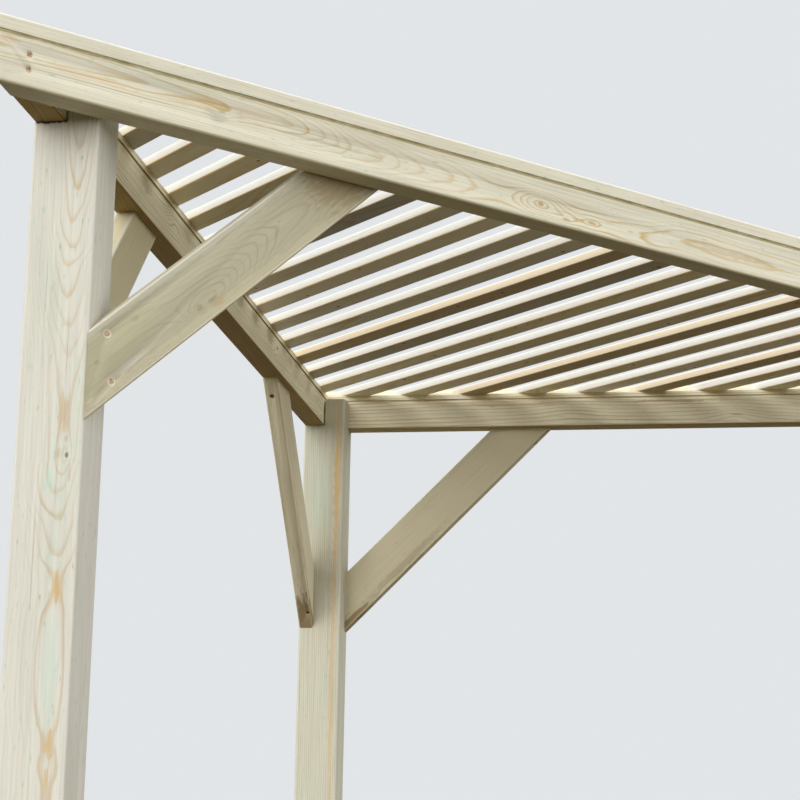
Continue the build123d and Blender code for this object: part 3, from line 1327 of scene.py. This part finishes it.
@dataclass
class Joinery:
    """The screws that hold the timbers together, and the bores that they sit in."""

    rises: tuple[float, float] = (0.025, 0.046)  # above the underside of a rail
    rail_end: float = 0.046  # in from the tips of the front rail
    tongue_middle: float = 0.0705  # middle of the corner post's tongue from the corner
    brace_foot: float = 0.030  # screw above the foot of a side brace
    brace_head: float = 0.033  # screw below its top
    foot_inset: float = 0.026  # in from the outer face of the rail
    head_inset: float = 0.016
    lap_screws: tuple[tuple[float, float], ...] = ((0.63, 0.040), (0.60, 0.070))  # along, up
    foot_screws: tuple[tuple[float, float], ...] = ((0.1026, 0.0717), (0.0669, 0.0174))
    seat_middle: float = 0.035  # in from the outer face of the rail that a slat lies in

    def __post_init__(self) -> None:
        """Makes the drills: a plain one, one that leaves the screws rusty and a small one."""
        self.drill = Drill(SteelFinish(plate=srgb(206, 188, 158), dirt=srgb(146, 112, 80)))
        rusty = SteelFinish(plate=srgb(112, 78, 54), dirt=srgb(66, 44, 30))
        dark = BoredFinish(wall=srgb(110, 74, 50), rim=srgb(196, 172, 136))
        self.rusty_drill = Drill(rusty, dark, depth=0.004)
        self.slat_drill = Drill(bore=0.0033, depth=0.0018, rim=0.0004, head=0.0031)
        self.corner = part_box("left_rail")[1][1]

    def build(self) -> None:
        """Bores the timbers and sets the screws."""
        self._front_rail()
        for side in Side:
            self._side_rail(side)
            for lean in Lean:
                self._side_brace(side, lean)
            self._front_brace(side)
        self._slats()

    def _fasten(self, drill: Drill, node: str, screws: list[Screw], slot: str) -> None:
        """Bores a timber and sets its screws.

        Args:
            drill: Drill to use.
            node: Name of the timber.
            screws: Its screws.
            slot: Slot of the record.
        """
        drill.bore_timber(node, screws, slot)
        drill.set_heads(node + "_screws", screws)

    def _at(self, side: Side, along: float, inset: float, height: float) -> Vector:
        """Finds a place by a side rail.

        Args:
            side: Half of the frame.
            along: Distance from the corner along the rail.
            inset: Distance in from its outer face.
            height: Height above the ground.

        Returns:
            The place in the row frame.
        """
        place = ((inset - along) * HALF, self.corner - (along + inset) * HALF, height)
        return Vector(side.mirror(place))

    def _front_post(self, side: Side) -> float:
        """Returns how far along the rail the middle of a front post is from the corner."""
        post = middle(side.word + "_post")
        return (abs(post.x) + self.corner - post.y) * HALF

    def _front_rail(self) -> None:
        """Screws the front rail to the ends of the side rails."""
        low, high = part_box("front_rail")
        screws = [
            Screw(Vector((end, low[1], low[2] + rise)), Vector(FRONT))
            for end in (low[0] + self.rail_end, high[0] - self.rail_end)
            for rise in self.rises
        ]
        self._fasten(self.drill, "front_rail", screws, "rail_timber")

    def _side_rail(self, side: Side) -> None:
        """Screws a side rail to the tongues of its two posts.

        Args:
            side: Half of the frame.
        """
        node = side.word + "_rail"
        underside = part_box(node)[0][2]
        out = Vector(side.mirror((-HALF, HALF, 0.0)))
        screws = [
            Screw(self._at(side, along, 0.0, underside + rise), out)
            for along in (self.tongue_middle, self._front_post(side))
            for rise in self.rises
        ]
        self._fasten(self.drill, node, screws, "rail_timber")

    def _side_brace(self, side: Side, lean: Lean) -> None:
        """Screws a side brace up through its lower edge.

        Args:
            side: Half of the frame.
            lean: Which way the brace leans.
        """
        node, heading = lean.node(side), lean.value
        low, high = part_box(node)
        start = 2 * Posts.half if lean is Lean.CORNER else self._front_post(side) - Posts.half
        places = ((self.brace_foot, self.foot_inset), (high[2] - low[2] - self.brace_head, self.head_inset))
        out = Vector(side.mirror((-HALF * heading * HALF, -HALF * heading * HALF, -HALF)))
        screws = [
            Screw(self._at(side, start + heading * step, inset, low[2] + step), out)
            for step, inset in places
        ]
        self._fasten(self.rusty_drill, node, screws, "brace_timber")

    def _front_brace(self, side: Side) -> None:
        """Screws a front brace to its post from the front, and to the rail from behind.

        Args:
            side: Half of the frame.
        """
        node = side.word + "_front_brace"
        low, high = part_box(node)
        length = math.hypot(Braces.drop, Braces.reach)
        slope = Vector((Braces.reach, 0.0, Braces.drop)) / length
        across = Vector((-Braces.drop, 0.0, Braces.reach)) / length
        foot = Vector((-max(abs(low[0]), abs(high[0])), 0.0, low[2]))

        def spot(along: float, rise: float, depth: float) -> Vector:
            """Returns a place on the brace, along and square to its lower edge."""
            place = foot + slope * along + across * rise + Vector((0.0, depth, 0.0))
            return Vector(side.mirror(tuple(place)))

        screws = [Screw(spot(*place, low[1]), Vector(FRONT)) for place in self.foot_screws]
        screws += [Screw(spot(*place, high[1]), -Vector(FRONT)) for place in self.lap_screws]
        self._fasten(self.drill, node, screws, "brace_timber")

    def _slats(self) -> None:
        """Screws each slat down into the seats at its two ends."""
        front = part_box("front_rail")[0][1] + self.seat_middle
        every = []
        for _, node in Slats.every():
            centre, top = middle(node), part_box(node)[1][2]
            back = self.corner - abs(centre.x) - self.seat_middle / HALF
            screws = [Screw(Vector((centre.x, place, top)), Vector(UP)) for place in (front, back)]
            self.slat_drill.bore_timber(node, screws, "slat_timber")
            every += screws
        self.slat_drill.set_heads("slat_screws", every)


@dataclass(frozen=True)
class Lamp:
    """A broad soft light."""

    name: str
    source: Point  # direction that the light comes from
    strength: float
    angle: float  # how wide it looks from the object, in degrees
    colour: Colour

    def light(self) -> None:
        """Adds the lamp to the scene."""
        data = bpy.data.lights.new(self.name, "SUN")
        data.energy = self.strength
        data.angle = math.radians(self.angle)
        data.color = self.colour
        lamp = bpy.data.objects.new(self.name, data)
        bpy.context.scene.collection.objects.link(lamp)
        lamp.rotation_euler = Vector(self.source).to_track_quat("Z", "Y").to_euler()


@dataclass
class Studio:
    """Floor, light and camera."""

    position: Point = (-2.60066, -3.0955, 1.10591)
    heading: float = math.radians(36.3976)
    pitch: float = math.radians(13.0371)
    roll: float = math.radians(1.0382)
    lens: float = 92.13
    sensor: float = 36.0
    clip: tuple[float, float] = (0.05, 200.0)
    floor_size: float = 200.0
    floor_height: float = -0.0005
    floor_colour: Colour = srgb(224, 227, 229)
    bounce_colour: Colour = (0.092, 0.065, 0.021)  # what the floor throws back up to the object
    backdrop_colour: Colour = srgb(226, 229, 231)
    sky_colour: Colour = (0.985, 0.99, 1.0)
    sky_low: float = 1.3  # strength of the sky at the horizon
    sky_fall: float = 1.1  # by how much it is less overhead
    lamps: tuple[Lamp, ...] = (
        Lamp("key", (-0.87, -0.30, 0.36), 2.3, 55.0, (1.0, 0.99, 0.965)),
        Lamp("fill", (0.60, -0.74, 0.30), 1.38, 90.0, (1.0, 0.99, 0.97)),
    )

    def build(self) -> None:
        """Builds the studio."""
        self._camera()
        self._floor()
        self._sky()
        for lamp in self.lamps:
            lamp.light()
        bpy.context.scene.view_settings.view_transform = "Standard"
        LOG.info("built the studio")

    def _camera(self) -> None:
        """Places the camera at the photograph's viewing angle."""
        data = bpy.data.cameras.new("camera")
        data.sensor_width = self.sensor
        data.lens = self.lens
        data.clip_start, data.clip_end = self.clip
        camera = bpy.data.objects.new("camera", data)
        bpy.context.scene.collection.objects.link(camera)
        flat = math.cos(self.pitch)
        forward = Vector((math.sin(self.heading) * flat, math.cos(self.heading) * flat, math.sin(self.pitch)))
        level = Vector((math.cos(self.heading), -math.sin(self.heading), 0.0))
        upright = level.cross(forward)
        right = math.cos(self.roll) * level + math.sin(self.roll) * upright
        rotation = Matrix((right, right.cross(forward), -forward)).transposed()
        camera.matrix_world = Matrix.Translation(self.position) @ rotation.to_4x4()
        bpy.context.scene.camera = camera

    def _shown(self, graph: ShaderGraph, hidden: Socket, seen: Socket) -> Socket:
        """Mixes two shaders: one lights the object, the other is seen by the camera and in gloss.

        Args:
            graph: Graph that holds both.
            hidden: Shader for diffuse light.
            seen: Shader for the camera, gloss and glass.

        Returns:
            The mixed shader.
        """
        path = graph.node("LightPath")
        direct = graph.math("MAXIMUM", path.outputs["Is Camera Ray"], path.outputs["Is Glossy Ray"])
        shown = graph.math("MAXIMUM", direct, path.outputs["Is Transmission Ray"])
        return graph.node("MixShader", {0: shown, 1: hidden, 2: seen}).outputs[0]

    def _floor(self) -> None:
        """Lays a plain pale floor, which throws little light back up."""
        bpy.ops.mesh.primitive_plane_add(size=self.floor_size, location=(0.0, 0.0, self.floor_height))
        floor = bpy.context.object
        floor.name = "floor"
        material, graph = new_material("floor_paint")
        seen = graph.node("BsdfDiffuse", {"Color": self.floor_colour})
        bounced = graph.node("BsdfDiffuse", {"Color": self.bounce_colour})
        graph.end(self._shown(graph, bounced.outputs[0], seen.outputs[0]))
        floor.data.materials.append(material)

    def _sky(self) -> None:
        """Makes the backdrop pale to the camera and a soft sky to the object."""
        world = bpy.data.worlds.new("sky")
        bpy.context.scene.world = world
        world.use_nodes = True
        graph = ShaderGraph(world.node_tree)
        split = graph.node("SeparateXYZ", {0: graph.node("TexCoord").outputs["Generated"]})
        height = graph.math("MAXIMUM", split.outputs["Z"], 0.0)
        seen = graph.node("Background", {"Color": self.backdrop_colour})
        strength = graph.scaled(height, -self.sky_fall, self.sky_low)
        light = graph.node("Background", {"Color": self.sky_colour, "Strength": strength})
        graph.end(self._shown(graph, light.outputs[0], seen.outputs[0]), "OutputWorld")


def main() -> None:
    """Dresses the frame piece by piece and sets up the studio."""
    logging.basicConfig(level=logging.INFO, format="%(name)s: %(message)s")
    bpy.ops.object.select_all(action="DESELECT")
    Posts().dress()
    Rails().dress()
    Braces().dress()
    Slats().dress()
    Joinery().build()
    Studio().build()


if __name__ == "__main__":
    main()
